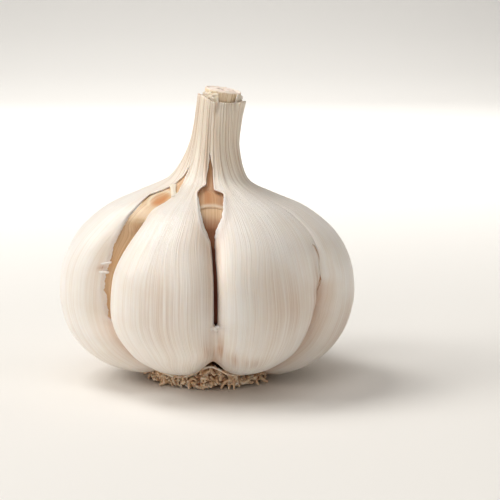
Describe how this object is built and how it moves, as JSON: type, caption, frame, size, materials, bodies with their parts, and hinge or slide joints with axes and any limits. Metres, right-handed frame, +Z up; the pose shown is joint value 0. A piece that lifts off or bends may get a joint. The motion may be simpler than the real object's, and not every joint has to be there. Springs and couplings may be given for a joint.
{
  "type": "garlic bulb",
  "caption": "Whole dry garlic bulb with plump lobes in torn papery skin, a ribbed cut neck and a tuft of short dried roots under it.",
  "frame": {"origin": "on the surface that the bulb stands on, under the middle of its bounding box", "axes": "+Z up along the stalk, -Y towards the long front tear, +X towards the side that the neck leans to"},
  "size_m": [0.0625, 0.0574, 0.0619],
  "materials": {
    "tunic": "satin",
    "clove_skin": "satin",
    "inner_skin": "matte",
    "stalk": "matte",
    "roots": "matte"
  },
  "bodies": {
    "root": {"tunic": "tunic", "clove_left": "clove_skin", "clove_front_left": "clove_skin", "clove_front_right": "clove_skin", "clove_right": "clove_skin", "clove_back_right": "clove_skin", "clove_back_left": "clove_skin", "stalk": "stalk", "inner_sheath": "inner_skin", "root_plate": "roots"}
  },
  "joints": []
}
